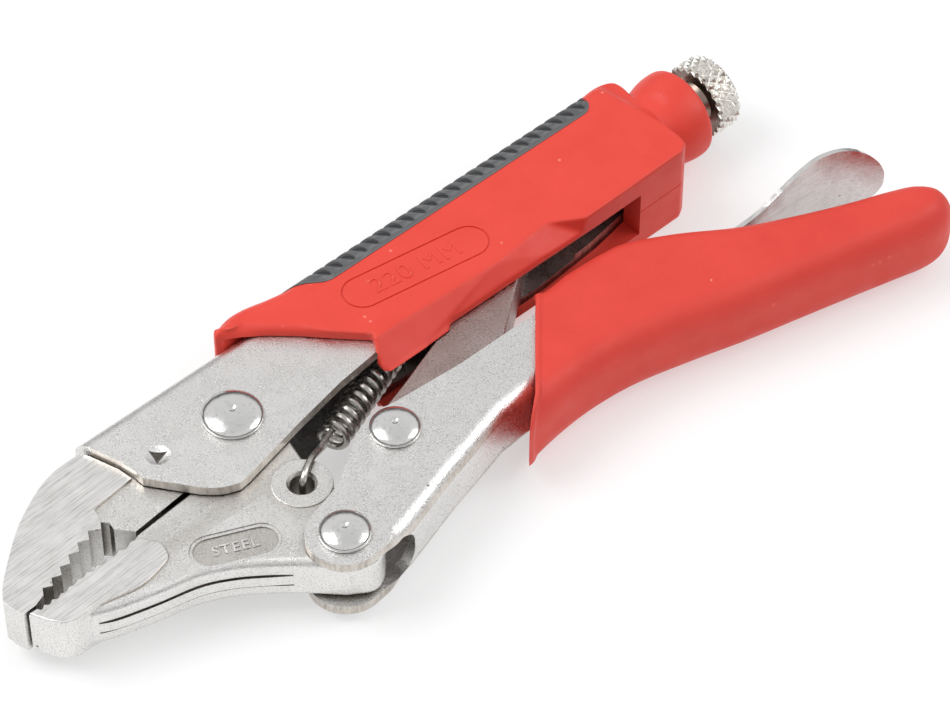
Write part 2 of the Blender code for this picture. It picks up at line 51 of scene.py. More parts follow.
JOINTS = {joint["name"]: joint for joint in frame["joints"]}
ORIGIN = Vector(JOINTS["jaw_swing"]["pos_m"])


def pivot(joint):
    """A hinge's place in the drawing frame, in millimetres."""
    place = (Vector(JOINTS[joint]["pos_m"]) - ORIGIN) / MM
    return (place.x, place.y)


# Driving sizes, in millimetres, measured from the tool's mid-plane where they are heights.
SHEET = 2.3
CHANNEL_IN = 5.7
CHANNEL_OUT = CHANNEL_IN + SHEET
TANG = 5.4
NOSE = 5.9
LINK_HALF = 5.2
GRIP_HALF = 10.6
SLEEVE_HALF = 9.5
RIVET_TOP = 10.6

JAW_PIVOT = (0, 0)
HANDLE_PIVOT = pivot("handle_swing")
LINK_PIVOT = pivot("link_swing")
LEVER_PIVOT = pivot("lever_press")
SCREW_Y = pivot("screw_turn")[1]
LINK_NOSE, LINK_NOSE_RADIUS = (86.5, 6.5), 4.2

FRAME_BACK, FRAME_END = 17, 124
HUB_RADIUS, JAW_EYE_RADIUS, EAR_RADIUS, LINK_EYE_RADIUS = 9.2, 6.3, 8.3, 6.3
MAIN_HEAD, SMALL_HEAD = 6.6, 5.5
SPRING_HOLE = (0, -21.9)
HEM_IN = 4.5
KNOB_START, KNOB_END, KNOB_RADIUS, SCREW_RADIUS = 141.8, 148.4, 9.1, 4.6
KNURLS, KNURL_POINTS = 24, 10
THREAD_START, THREAD_END, THREAD_PITCH = 99.6, 114, 1.5
STAKE_MARK, JAW_MARK, GRIP_MARK = (-18.2, 2.4), (-20.7, -25.2), (55, 4.2)
GRIP_BACK, BACK_RADIUS = 19.5, 4
BEND_Y, BEND_Z = GRIP_BACK - BACK_RADIUS, GRIP_HALF - BACK_RADIUS
INSERT_START, INSERT_END = 29.6, 117.6


# --- outlines ---

def arc(centre, radius, start, end, steps):
    """Points of a circular arc, with its angles in degrees."""
    points = []
    for i in range(steps + 1):
        angle = math.radians(start + (end - start) * i / steps)
        points.append((centre[0] + radius * math.cos(angle), centre[1] + radius * math.sin(angle)))
    return points


def through(points, steps):
    """A smooth Catmull-Rom run through all the points."""
    guide = [points[0]] + list(points) + [points[-1]]
    run = []
    for a, b, c, d in zip(guide, guide[1:], guide[2:], guide[3:]):
        for i in range(steps):
            t = i / steps
            run.append(tuple(
                0.5 * (2 * b[k] + (c[k] - a[k]) * t + (2 * a[k] - 5 * b[k] + 4 * c[k] - d[k]) * t * t
                       + (3 * b[k] - a[k] - 3 * c[k] + d[k]) * t ** 3)
                for k in range(len(b))))
    run.append(tuple(points[-1]))
    return run


def offset_run(points, distance):
    """A run of points moved sideways, to its left, by a distance."""
    moved = []
    for i, point in enumerate(points):
        before = points[max(i - 1, 0)]
        after = points[min(i + 1, len(points) - 1)]
        along = Vector((after[0] - before[0], after[1] - before[1])).normalized()
        moved.append((point[0] - along.y * distance, point[1] + along.x * distance))
    return moved


def fading_run(points, ends, middle):
    """A run of points moved sideways by one distance at its ends, easing to another between them."""
    moved = []
    for i, (near, far) in enumerate(zip(offset_run(points, ends), offset_run(points, middle))):
        share = smoothstep(min(i, len(points) - 1 - i) / 9)
        moved.append((near[0] + (far[0] - near[0]) * share, near[1] + (far[1] - near[1]) * share))
    return moved


def near_run(run, point, reach=0.3):
    """True where a point, seen from above, lies close to a run of straight stretches."""
    place = Vector(point[:2])
    for start, end in zip(run, run[1:]):
        start, along = Vector(start), Vector(end) - Vector(start)
        share = max(0, min(1, (place - start).dot(along) / along.length_squared))
        if (place - start - along * share).length < reach:
            return True
    return False


def smoothstep(t):
    """Eases from 0 to 1 while t goes from 0 to 1."""
    t = max(0, min(1, t))
    return t * t * (3 - 2 * t)


def oval(centre, length, width, tilt):
    """A slot-shaped outline, turned by tilt degrees."""
    half = (length - width) / 2
    right = arc((half, 0), width / 2, -90, 90, 12)
    left = arc((-half, 0), width / 2, 90, 270, 12)
    turn = math.radians(tilt)
    return [(centre[0] + x * math.cos(turn) - y * math.sin(turn),
             centre[1] + x * math.sin(turn) + y * math.cos(turn)) for x, y in right + left]


# --- mesh tools ---

def linked(name, data):
    """A new object of the scene for a mesh, curve, light or camera."""
    made = bpy.data.objects.new(name, data)
    bpy.context.scene.collection.objects.link(made)
    return made


def packed(shape, name="work"):
    """A bmesh's geometry as a mesh; the bmesh is freed."""
    mesh = bpy.data.meshes.new(name)
    shape.to_mesh(mesh)
    shape.free()
    return mesh


def shifted(shape, vector):
    """The shape moved by a vector."""
    bmesh.ops.translate(shape, vec=vector, verts=shape.verts)
    return shape


def turned(shape, degrees, axis):
    """The shape turned about an axis through the origin."""
    matrix = Matrix.Rotation(math.radians(degrees), 3, axis)
    bmesh.ops.rotate(shape, matrix=matrix, verts=shape.verts)
    return shape


def evaluated(holder, extra=()):
    """The final mesh of a temporary object as a bmesh; the object and its helpers are removed."""
    graph = bpy.context.evaluated_depsgraph_get()
    mesh = bpy.data.meshes.new_from_object(holder.evaluated_get(graph))
    shape = bmesh.new()
    shape.from_mesh(mesh)
    bpy.data.meshes.remove(mesh)
    for used in (holder, *extra):
        bpy.data.objects.remove(used)
    return shape


def modified(shape, kind, **settings):
    """The mesh after one modifier."""
    holder = linked("work", packed(shape))
    modifier = holder.modifiers.new(kind, kind)
    for name, value in settings.items():
        setattr(modifier, name, value)
    return evaluated(holder)


def combined(shape, other, operation):
    """A boolean of two closed shapes; the exact solver steps in where the quick one gives up."""
    for solver in ("MANIFOLD", "EXACT"):
        holder = linked("work", packed(shape.copy()))
        guide = linked("work", packed(other.copy()))
        modifier = holder.modifiers.new("cut", "BOOLEAN")
        modifier.operation = operation
        modifier.solver = solver
        modifier.object = guide
        result = evaluated(holder, [guide])
        if result.faces and result.calc_volume() > 0.01:
            break
    return result


def cut(shape, *others):
    """The shape less the others."""
    for other in others:
        shape = combined(shape, other, "DIFFERENCE")
    return shape


def joined(shape, *others):
    """The shape and the others as one solid."""
    for other in others:
        shape = combined(shape, other, "UNION")
    return shape


def piled(shape, *others):
    """Several closed meshes in one, as they are."""
    for other in others:
        mesh = packed(other)
        shape.from_mesh(mesh)
        bpy.data.meshes.remove(mesh)
    return shape


def moulded(shape, voxel, rounds):
    """One skin over the shape, with every edge softened the way a mould or a die leaves it."""
    shape = modified(shape, "REMESH", mode="VOXEL", voxel_size=voxel)
    return modified(shape, "SMOOTH", factor=0.5, iterations=rounds)


def eased(shape, width, segments=2):
    """Small rounded edges wherever faces meet at more than 32 degrees."""
    return modified(shape, "BEVEL", width=width, segments=segments, limit_method="ANGLE",
                    angle_limit=math.radians(32), miter_outer="MITER_ARC")


def prism(outline, low, high):
    """Closed mesh of a flat outline, extruded between two heights."""
    curve = bpy.data.curves.new("outline", "CURVE")
    curve.dimensions = "2D"
    curve.fill_mode = "BOTH"
    curve.extrude = (high - low) / 2
    shape = meshed(curve, [(x, y, 0) for x, y in outline], True)
    bmesh.ops.dissolve_limit(shape, angle_limit=0.005, verts=shape.verts, edges=shape.edges)
    return shifted(shape, (0, 0, (low + high) / 2))


def meshed(curve, places, closed=False):
    """The solid of a curve through the places, as a bmesh with welded caps."""
    spline = curve.splines.new("POLY")
    spline.points.add(len(places) - 1)
    for point, place in zip(spline.points, places):
        point.co = (*place, 1)
    spline.use_cyclic_u = closed
    shape = evaluated(linked("outline", curve))
    bmesh.ops.remove_doubles(shape, verts=shape.verts, dist=1e-4)
    bmesh.ops.recalc_face_normals(shape, faces=shape.faces)
    return shape


def one_side(outline, side, near, far):
    """A prism between two heights over the mid-plane, or under it where side is -1."""
    return prism(outline, *sorted((side * near, side * far)))


def along_y(shape):
    """Turns a prism's outline into the ZX plane, so that it is extruded along Y."""
    turn = Matrix(((0, 1, 0, 0), (0, 0, 1, 0), (1, 0, 0, 0), (0, 0, 0, 1)))
    bmesh.ops.transform(shape, matrix=turn, verts=shape.verts)
    return shape


def soften(shape, radius, segments, back, height):
    """Rounds a folded plate's edges: those at its back, at a height on either side."""
    edges = []
    for edge in shape.edges:
        middle = (edge.verts[0].co + edge.verts[1].co) / 2
        outer = middle.y > back - 0.1 and abs(middle.z) > height - 0.1
        if outer and len(edge.link_faces) == 2 and edge.calc_face_angle() > 0.6:
            edges.append(edge)
    bmesh.ops.bevel(shape, geom=edges, offset=radius, segments=segments, profile=0.5,
                    affect="EDGES", clamp_overlap=True)
    return shape


def rod(centre, radius, low, high, axis="Z", segments=64, end_radius=None):
    """A cylinder or cone between two positions along one axis."""
    shape = bmesh.new()
    end_radius = radius if end_radius is None else end_radius
    bmesh.ops.create_cone(shape, cap_ends=True, segments=segments, radius1=radius,
                          radius2=end_radius, depth=high - low)
    middle = (low + high) / 2
    place = Vector((centre[0], centre[1], middle))
    if axis == "X":
        turned(shape, 90, "Y")
        place = Vector((middle, centre[0], centre[1]))
    elif axis == "Y":
        turned(shape, -90, "X")
        place = Vector((centre[0], middle, centre[1]))
    return shifted(shape, place)


def lofted(rings):
    """A skin through rings of equally many points; the ends are closed."""
    shape = bmesh.new()
    rows = [[shape.verts.new(point) for point in ring] for ring in rings]
    count = len(rings[0])
    for lower, upper in zip(rows, rows[1:]):
        for i in range(count):
            j = (i + 1) % count
            shape.faces.new((lower[i], lower[j], upper[j], upper[i]))
    shape.faces.new(rows[0][::-1])
    shape.faces.new(rows[-1])
    bmesh.ops.recalc_face_normals(shape, faces=shape.faces)
    return shape


def inset_loop(outline, distances):
    """The closed outline (counter-clockwise), each corner moved inwards by its own distance."""
    moved = []
    for i, here in enumerate(outline):
        here, before = Vector(here), Vector(outline[i - 1])
        after = Vector(outline[(i + 1) % len(outline)])
        first, second = (here - before).normalized(), (after - here).normalized()
        mean = (first + second).normalized()
        inwards = Vector((-mean.y, mean.x)) / max(0.5, mean.dot(first))
        moved.append(tuple(here + inwards * distances[i]))
    return moved


def rounded_slab(outline, half, radii, share=1, steps=9):
    """A slab of the outline (counter-clockwise) whose rims are rounded, each corner by its own
    radius; a share under 1 makes the rounding elliptic."""
    if not isinstance(radii, list):
        radii = [radii] * len(outline)
    largest, rings = max(radii), []
    heights = [half - largest * (1 - math.sin(math.pi / 2 * k / steps)) for k in range(steps + 1)]
    for level in [-height for height in heights[::-1]] + heights:
        over = [max(0, abs(level) - half + radius) for radius in radii]
        moves = [share * (radius - math.sqrt(max(0, radius ** 2 - reach ** 2)))
                 for radius, reach in zip(radii, over)]
        rings.append([(x, y, level) for x, y in inset_loop(outline, moves)])
    return lofted(rings)


def revolved(profile, place, axis="Z", steps=96):
    """A turned solid from (radius, position) pairs along its axis; a zero radius makes a pole."""
    shape = bmesh.new()
    rows = []
    for radius, height in profile:
        if radius < 1e-6:
            rows.append([shape.verts.new((0, 0, height))])
            continue
        rows.append([shape.verts.new((radius * math.cos(2 * math.pi * i / steps),
                                      radius * math.sin(2 * math.pi * i / steps), height))
                     for i in range(steps)])
    for lower, upper in zip(rows, rows[1:]):
        for i in range(steps):
            j = (i + 1) % steps
            corner = [lower[i % len(lower)], lower[j % len(lower)], upper[j % len(upper)],
                      upper[i % len(upper)]]
            face = [vert for k, vert in enumerate(corner) if vert not in corner[:k]]
            shape.faces.new(face)
    if axis == "X":
        turned(shape, 90, "Y")
    bmesh.ops.remove_doubles(shape, verts=shape.verts, dist=1e-5)
    bmesh.ops.recalc_face_normals(shape, faces=shape.faces)
    return shifted(shape, place)


def add(name, shape, body, material, nodes, sharp=35, accents=()):
    """A finished piece of the tool, riding on its CAD body in place of CAD nodes.

    accents is a list of (material, chosen(face centre, normal)) for faces with another finish.
    """
    for face in shape.faces:
        for index, (_, chosen) in enumerate(accents):
            if chosen(face.calc_center_median(), face.normal):
                face.material_index = index + 1
    bmesh.ops.scale(shape, vec=(MM, MM, MM), verts=shape.verts)
    mesh = packed(shifted(shape, ORIGIN), name)
    made = linked(name, mesh)
    for finish in (material, *(finish for finish, _ in accents)):
        mesh.materials.append(finish)
    mesh.shade_smooth()
    mesh.set_sharp_from_angle(angle=math.radians(sharp))
    normals = made.modifiers.new("normals", "WEIGHTED_NORMAL")
    normals.keep_sharp = True
    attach(made, body)
    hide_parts(*nodes)


# --- materials ---

class Finish:
    """A Principled material with helpers for its procedural layers; all sizes are in metres."""

    def __init__(self, name, colour, roughness, metallic):
        self.material = bpy.data.materials.new(name)
        self.material.use_nodes = True
        self.tree = self.material.node_tree
        self.shader = self.tree.nodes["Principled BSDF"]
        self.shader.inputs["Base Color"].default_value = (*colour, 1)
        self.shader.inputs["Roughness"].default_value = roughness
        self.shader.inputs["Metallic"].default_value = metallic
        self.place = self.node("TexCoord").outputs["Object"]
        self.bump = None

    def node(self, kind, inputs=None, **settings):
        """A new node; inputs are plain values or other nodes' outputs to link."""
        made = self.tree.nodes.new("ShaderNode" + kind)
        for name, value in settings.items():
            setattr(made, name, value)
        for key, value in (inputs or {}).items():
            if isinstance(value, bpy.types.NodeSocket):
                self.tree.links.new(value, made.inputs[key])
            else:
                made.inputs[key].default_value = value
        return made

    def stretched(self, scale=(1, 1, 1), turn=(0, 0, 0)):
        """The object's coordinates, turned and then scaled per axis."""
        angles = [math.radians(angle) for angle in turn]
        turned = self.node("Mapping", {"Vector": self.place, "Rotation": angles})
        return self.node("Mapping", {"Vector": turned.outputs[0], "Scale": scale}).outputs[0]

    def noise(self, grain, detail=3, rough=0.55, scale=(1, 1, 1), turn=(0, 0, 0)):
        """Noise whose grains are about that many metres across."""
        inputs = {"Vector": self.stretched(scale, turn), "Scale": 1 / grain, "Detail": detail,
                  "Roughness": rough}
        return self.node("TexNoise", inputs).outputs["Fac"]

    def specks(self, spacing, threshold):
        """Sparse dots: 1 at the centres of the cells whose own random value is over threshold."""
        cells = self.node("TexVoronoi", {"Vector": self.stretched(), "Scale": 1 / spacing})
        near = self.ranged(cells.outputs["Distance"], 0.08, 0.2, 1, 0)
        chosen = self.node("SeparateColor", {0: cells.outputs["Color"]}).outputs[0]
        some = self.ranged(chosen, threshold, threshold + 0.01, 0, 1)
        return self.node("Math", {0: near, 1: some}, operation="MULTIPLY").outputs[0]

    def ranged(self, value, low, high, out_low, out_high):
        """The value, mapped from one range to another and held at its ends."""
        inputs = {"Value": value, "From Min": low, "From Max": high, "To Min": out_low,
                  "To Max": out_high}
        return self.node("MapRange", inputs).outputs["Result"]

    def tint(self, amount, colour, *levels):
        """Mixes a colour over what the base colour is so far, by a 0 to 1 amount; with levels,
        by how a value ranges over them."""
        if levels:
            amount = self.ranged(amount, *levels)
        slot = self.shader.inputs["Base Color"]
        below = slot.links[0].from_socket if slot.is_linked else slot.default_value
        inputs = {"Factor": amount, 6: below, 7: (*colour, 1)}
        made = self.node("Mix", inputs, data_type="RGBA")
        self.tree.links.new(made.outputs[2], slot)

    def roughness(self, value, low, high):
        """Lets a noise spread the roughness between two values."""
        spread = self.ranged(value, 0.3, 0.7, low, high)
        self.tree.links.new(spread, self.shader.inputs["Roughness"])

    def relief(self, height, distance, strength=1):
        """Adds a bump layer; distance is its depth in metres."""
        inputs = {"Height": height, "Distance": distance, "Strength": strength}
        if self.bump is not None:
            inputs["Normal"] = self.bump
        self.bump = self.node("Bump", inputs).outputs["Normal"]
        self.tree.links.new(self.bump, self.shader.inputs["Normal"])

    def curvature(self):
        """The mesh's own: over 0.5 on convex edges, under it in crevices."""
        return self.node("NewGeometry").outputs["Pointiness"]

    def openness(self, reach):
        """1 in the open, less where other surfaces stand close by."""
        return self.node("AmbientOcclusion", {"Distance": reach}, samples=6).outputs["AO"]


def plated_steel(name, grain=0.00032, depth=0.0001, colour=(0.8, 0.79, 0.775),
                 light=(0.88, 0.875, 0.865), painted_contact_shade=0):
    """Blasted sheet or forging under bright nickel plating."""
    finish = Finish(name, colour, 0.3, 1)
    fine = finish.noise(grain, 3, 0.6)
    broad = finish.noise(0.012, 3)
    finish.tint(broad, light, 0.35, 0.7, 0, 0.55)
    finish.tint(fine, [0.52 * part for part in colour], 0.34, 0.48, 0.7, 0)
    finish.tint(finish.specks(0.0021, 0.955), (0.14, 0.12, 0.1))
    # Painted shade: dark brown in crevices and inner corners, where less light reaches.
    finish.tint(finish.curvature(), (0.3, 0.25, 0.2), 0.48, 0.42, 0, 0.6)
    # Painted shade: darker brown where other surfaces stand close by, such as the frame's plates over the
    # jaw.
    if painted_contact_shade:
        finish.tint(finish.openness(0.005), (0.16, 0.13, 0.105), 0.72, 0.4, 0, painted_contact_shade)
    finish.roughness(finish.noise(0.0035, 4), 0.2, 0.36)
    finish.relief(finish.noise(0.006, 2), 0.00012, 0.5)
    finish.relief(fine, depth, 1)
    return finish.material


def streaked_metal(name, colour, roughness, noise, shade, levels, spread, depth, patch=None):
    """Metal under one noise that sets its shade, its roughness and its relief. A patch is a
    broader noise with a shade and levels of its own."""
    finish = Finish(name, colour, roughness, 1)
    streaks = finish.noise(*noise)
    finish.tint(streaks, shade, *levels)
    if patch:
        finish.tint(finish.noise(*patch[0]), *patch[1:])
    finish.roughness(streaks, *spread)
    finish.relief(streaks, *depth)
    return finish.material


def turned_metal(name, colour, shade, roughness):
    """Lathe-turned metal: fine rings round the screw's axis."""
    return streaked_metal(name, colour, roughness, (0.00035, 3, 0.6, (1, 0.05, 0.05)), shade,
                          (0.35, 0.65, 0.7, 0), (roughness - 0.06, roughness + 0.1),
                          (0.00005, 0.7), ((0.003, 3), shade, 0.5, 0.75, 0, 0.4))


def ground_face(name, angle):
    """Flat face finished on a belt grinder: long fine scratches in one direction."""
    finish = Finish(name, (0.88, 0.87, 0.855), 0.3, 1)
    fine = finish.noise(0.00026, 4, 0.7, (0.035, 1, 1), (0, 0, angle))
    coarse = finish.noise(0.0011, 3, 0.6, (0.05, 1, 1), (0, 0, angle + 3))
    finish.tint(fine, (0.5, 0.485, 0.465), 0.36, 0.52, 0.75, 0)
    finish.tint(coarse, (0.6, 0.59, 0.57), 0.3, 0.45, 0.35, 0)
    finish.tint(finish.specks(0.0026, 0.965), (0.16, 0.13, 0.11))
    finish.roughness(finish.noise(0.004, 3), 0.24, 0.4)
    finish.relief(coarse, 0.00005, 0.6)
    finish.relief(fine, 0.00003, 0.8)
    return finish.material


def polished_rivet(name):
    """Bright tumbled rivet head with light wear."""
    finish = Finish(name, (0.76, 0.755, 0.745), 0.14, 1)
    wear = finish.noise(0.0011, 4, 0.65)
    finish.tint(wear, (0.42, 0.41, 0.4), 0.3, 0.45, 0.35, 0)
    finish.tint(finish.specks(0.0012, 0.95), (0.22, 0.2, 0.18))
    finish.roughness(wear, 0.1, 0.24)
    finish.relief(finish.noise(0.0024, 3), 0.00009, 0.6)
    finish.relief(finish.noise(0.0005, 3), 0.00002, 0.5)
    return finish.material


def strip_steel(name):
    """Cold-rolled strip with a satin sheen and long faint draw lines."""
    finish = Finish(name, (0.74, 0.73, 0.715), 0.24, 1)
    lines = finish.noise(0.0005, 4, 0.6, (0.04, 1, 1))
    finish.tint(lines, (0.5, 0.485, 0.47), 0.3, 0.55, 0.5, 0)
    finish.tint(finish.specks(0.0022, 0.96), (0.2, 0.17, 0.15))
    finish.roughness(finish.noise(0.004, 3), 0.17, 0.34)
    finish.relief(finish.noise(0.0022, 3), 0.00008, 0.5)
    finish.relief(lines, 0.00002, 0.7)
    return finish.material


def red_plastic(name, colour, deep, roughness, grain, depth):
    """Moulded red plastic: faint mottling, fine skin texture, pale dust and lighter red on convex edges.
    """
    finish = Finish(name, colour, roughness, 0)
    skin = finish.noise(grain, 3, 0.6)
    finish.tint(finish.noise(0.011, 3), deep, 0.35, 0.7, 0, 0.55)
    finish.tint(skin, deep, 0.3, 0.6, 0.16, 0)
    # Lighter red on convex edges.
    finish.tint(finish.curvature(), (0.9, 0.16, 0.11), 0.52, 0.6, 0, 0.35)
    finish.tint(finish.specks(0.0024, 0.965), (0.95, 0.4, 0.34), 0, 1, 0, 0.5)
    finish.roughness(finish.noise(0.005, 3), roughness - 0.07, roughness + 0.09)
    finish.relief(finish.noise(0.008, 2), 0.00015, 0.4)
    finish.relief(skin, depth, 0.6)
    finish.shader.inputs["Specular IOR Level"].default_value = 0.35
    return finish.material


def grey_rubber(name, shade=1):
    """Soft dark grey moulding; a lower shade makes a darker copy, used as painted shade in its pits."""
    finish = Finish(name, [shade * part for part in (0.085, 0.087, 0.09)], 0.62, 0)
    skin = finish.noise(0.0005, 3, 0.6)
    finish.tint(finish.noise(0.006, 3), [shade * part for part in (0.12, 0.122, 0.126)],
                0.4, 0.7, 0, 0.6)
    # Lighter grey on convex edges; near-black painted shade in crevices.
    finish.tint(finish.curvature(), (0.19, 0.19, 0.195), 0.52, 0.6, 0, 0.5 * shade)
    finish.tint(finish.curvature(), (0.035, 0.035, 0.037), 0.48, 0.42, 0, 0.7)
    finish.roughness(finish.noise(0.003, 3), 0.54, 0.7)
    finish.relief(skin, 0.00003, 0.6)
    return finish.material


PLATE = plated_steel("plated_frame")
# Brownish sheared-edge colour: real on the plates' cut edges, and painted shade on the jaws' step walls.
EDGE_AND_PAINTED_STEP_SHADE = streaked_metal("sheared_edge_and_painted_step_shade", (0.66, 0.62, 0.57), 0.34, (0.0007, 4, 0.65, (1, 1, 0.25)),
                      (0.36, 0.32, 0.28), (0.35, 0.6, 0.8, 0), (0.28, 0.48), (0.00012, 0.8),
                      ((0.006, 2), (0.8, 0.76, 0.71), 0.45, 0.7, 0, 0.6))
HANDLE_PLATE = plated_steel("plated_handle", 0.00034, 0.0001)
# The forging gets the painted contact shade near the parts that overhang it.
FORGED = plated_steel("plated_forging", 0.0003, 0.00009, (0.78, 0.77, 0.75), painted_contact_shade=0.85)
# Painted shade: near-black for the punch mark's steep facet and the belly grooves, where shadow falls.
PAINTED_HOLLOW_SHADE = streaked_metal("painted_hollow_shade", (0.13, 0.12, 0.11), 0.3, (0.0005, 3), (0.3, 0.28, 0.26),
                         (0.4, 0.7, 0, 0.6), (0.24, 0.4), (0.00004, 0.7))
GROUND = ground_face("ground_nose", -3)
# Painted shade and painted reflection: the link's dark reddish brown stands for the shade under the red
# grip and the grip's reflection.
LINK_PAINTED_SHADE_AND_REFLECTION = plated_steel("plated_link", 0.00045, 0.00014, (0.4, 0.31, 0.29), (0.58, 0.5, 0.48))
RIVET = polished_rivet("polished_rivet")
KNURL = turned_metal("bright_nickel", (0.86, 0.84, 0.8), (0.68, 0.64, 0.58), 0.32)
# Painted shade: dark brown for the bush's end, the knob's front face and the shank, which sit in the
# shaded gap by the collar.
PAINTED_RECESS_SHADE = turned_metal("turned_bush", (0.4, 0.33, 0.28), (0.2, 0.15, 0.12), 0.28)
WIRE = streaked_metal("spring_wire", (0.4, 0.38, 0.36), 0.24, (0.0007, 4, 0.6), (0.6, 0.58, 0.55),
                      (0.35, 0.7, 0, 0.8), (0.2, 0.36), (0.00003, 0.6))
STRIP = strip_steel("satin_strip")
RED = red_plastic("red_moulding", (0.74, 0.062, 0.042), (0.66, 0.045, 0.03), 0.42, 0.0005,
                  0.000016)
VINYL = red_plastic("red_vinyl", (0.70, 0.058, 0.04), (0.62, 0.042, 0.03), 0.5, 0.0007, 0.00003)
RUBBER = grey_rubber("grey_rubber")
# Painted shade: a darker copy of the rubber for the faces deep in the pits.
RUBBER_PAINTED_PIT_SHADE = grey_rubber("grey_rubber_painted_pit_shade", 0.3)


# --- fixed frame ---

def is_stake_shadow(face_centre, normal):
    """The steep facet of the punch mark that looks away from the jaws' back."""
    near = (face_centre.xy - Vector(STAKE_MARK)).length < 3.6
    return near and abs(face_centre.z) < CHANNEL_OUT - 0.3 and normal.y < -0.25


def is_cut_edge(face_centre, normal):
    """Side walls of punched plates: faces that stand upright and lie between the two skins."""
    return abs(normal.z) < 0.5 and HEM_IN < abs(face_centre.z) < CHANNEL_OUT


def build_fixed_frame():
    """Sheet folded over the tool's back: two plates with an inner rim along their rear edges."""
    outline = [(-28.6, FRAME_BACK), (FRAME_END, FRAME_BACK), (FRAME_END, -1), (110, -3.8),
               (98, -5.6), (80, -7), (36, -6.4), (22.6, -8), (9.4, -10.6), (-7.6, -14.5)]
    outline += through([(-10.4, -14.9), (-14.2, -13.2), (-17.4, -10.3)], 6)
    outline += [(-24.5, -0.4), (-24.5, 2), (-25.1, 6.2), (-27.3, 13.3)]
    shape = prism(outline, -CHANNEL_OUT, CHANNEL_OUT)
    soften(shape, 4.2, 10, FRAME_BACK, CHANNEL_OUT)
    back = FRAME_BACK - SHEET
    inside = prism([(-40, -30), (140, -30), (140, back), (-40, back)], -CHANNEL_IN, CHANNEL_IN)
    soften(inside, 1.8, 6, back, CHANNEL_IN)
    shape = cut(shape, inside, rod((57, 0), 1.5, 12, 20, "Y", 32))
    rim = [(92.5, -6.02), (98, -5.6), (110, -3.8), (FRAME_END, -1)]
    rim += offset_run(rim, 2.4)[::-1]
    shape = joined(shape, prism(rim, HEM_IN, CHANNEL_IN + 0.5),
                   prism(rim, -CHANNEL_IN - 0.5, -HEM_IN))
    shape = eased(shape, 0.42, 3)
    for side in (1, -1):
        shape = cut(shape, *stake_mark(side))
    add("fixed_frame_shell", shape, "frame", PLATE, ["fixed_frame"],
        accents=[(EDGE_AND_PAINTED_STEP_SHADE, is_cut_edge), (PAINTED_HOLLOW_SHADE, is_stake_shadow)])


def stake_mark(side):
    """The punch's three-sided pit in a round dished seat."""
    seat = bmesh.new()
    bmesh.ops.create_icosphere(seat, subdivisions=5, radius=7.5)
    shifted(seat, (*STAKE_MARK, side * (CHANNEL_OUT + 6.95)))
    pit = bmesh.new()
    bmesh.ops.create_cone(pit, cap_ends=True, segments=3, radius1=0.25, radius2=2.7, depth=1.9)
    flip = Matrix.Rotation(0 if side > 0 else math.pi, 3, "X")
    spin = Matrix.Rotation(math.radians(137.5 * side), 3, "Z")
    bmesh.ops.rotate(pit, matrix=flip @ spin, verts=pit.verts)
    return seat, shifted(pit, (*STAKE_MARK, side * (CHANNEL_OUT - 0.9)))


# --- jaws ---

def fixed_crest(x):
    """How high the fixed jaw's teeth reach at x."""
    return -9.5 + 5.8 * smoothstep((x + 60) / 22.5)


def fixed_teeth():
    """Saw teeth from the throat forwards to the tip, growing towards the throat."""
    teeth = []
    x, pitch = -37, 3.6
    while x > -59:
        crest = x - 0.35 * pitch
        teeth += [(x, fixed_crest(x) + 0.5 * pitch), (crest, fixed_crest(crest))]
        x -= pitch
        pitch -= 0.13
    return teeth


def is_ground(face_centre, normal):
    """The flat faces that the belt grinder has cut."""
    return abs(normal.z) > 0.9 and abs(face_centre.z) > NOSE - 0.12


def is_step_wall(face_centre, normal):
    """The low step round a ground face, on the web's side, which is given the brownish sheared-edge
    colour as painted shade.
    """
    return (abs(normal.z) < 0.8 and TANG + 0.02 < abs(face_centre.z) < NOSE - 0.03
            and face_centre.x > -51)


def build_fixed_jaw():
    """Forged nose with a thinner tang that is held between the frame's plates."""
    outline = fixed_teeth() + [(-60.4, -10.3), (-63.6, -10.5), (-64.4, -7.5), (-64.5, -4.9)]
    outline += through([(-62.6, -2.3), (-58.8, 1.3), (-50.6, 8), (-42, 12.8), (-36.6, 14.6),
                        (-32.6, 15)], 8)
    outline += [(-29, 15), (-27.9, 13.4), (-25.6, 6.3), (-25.2, 2.6), (-36, 1.4),
                (-36.6, -0.6)]
    shape = prism(outline, -NOSE, NOSE)
    seat = FRAME_BACK - SHEET - 0.3
    tang = [(-38, 0.8), (-37.02, -1.9), (-35.8, -3.2), (-36.2, -5.2), (-34, -7.7),
            (-33.3, -8.7), (-19.6, -7.3)]
    tang += arc(JAW_PIVOT, HUB_RADIUS + 0.5, 215, 125, 14) + [(-5.6, seat), (-29, seat)]
    tang = prism(tang, -TANG, TANG)
    soften(tang, 1, 3, seat, TANG)
    add("fixed_jaw_forging", eased(joined(shape, tang), 0.38, 3), "frame", FORGED,
        ["fixed_jaw"], accents=[(GROUND, is_ground), (EDGE_AND_PAINTED_STEP_SHADE, is_step_wall)])


def moving_teeth():
    """Finer saw teeth, from the tip back to the throat."""
    teeth = []
    x, pitch = -60.2, 2
    while x < -37.5:
        crest = -11.1 + 0.9 * smoothstep((x + 58) / 10)
        teeth += [(x, crest - 0.8), (x + 0.6 * pitch, crest)]
        x += pitch
        pitch += 0.12
    return teeth


def raised_mark(name, words, size, place, tilt, height, proud, body, finish):
    """Plain raised letters standing on a flat field."""
    curve = bpy.data.curves.new(name, "FONT")
    curve.body = words
    curve.size = size
    curve.align_x, curve.align_y = "CENTER", "CENTER"
    curve.extrude = proud / 2
    curve.bevel_depth = 0.05
    curve.space_character = 1.1
    shape = evaluated(linked(name, curve))
    bmesh.ops.remove_doubles(shape, verts=shape.verts, dist=1e-4)
    shifted(turned(shape, tilt, "Z"), (*place, height))
    add(name, shape, body, finish, [], sharp=50)


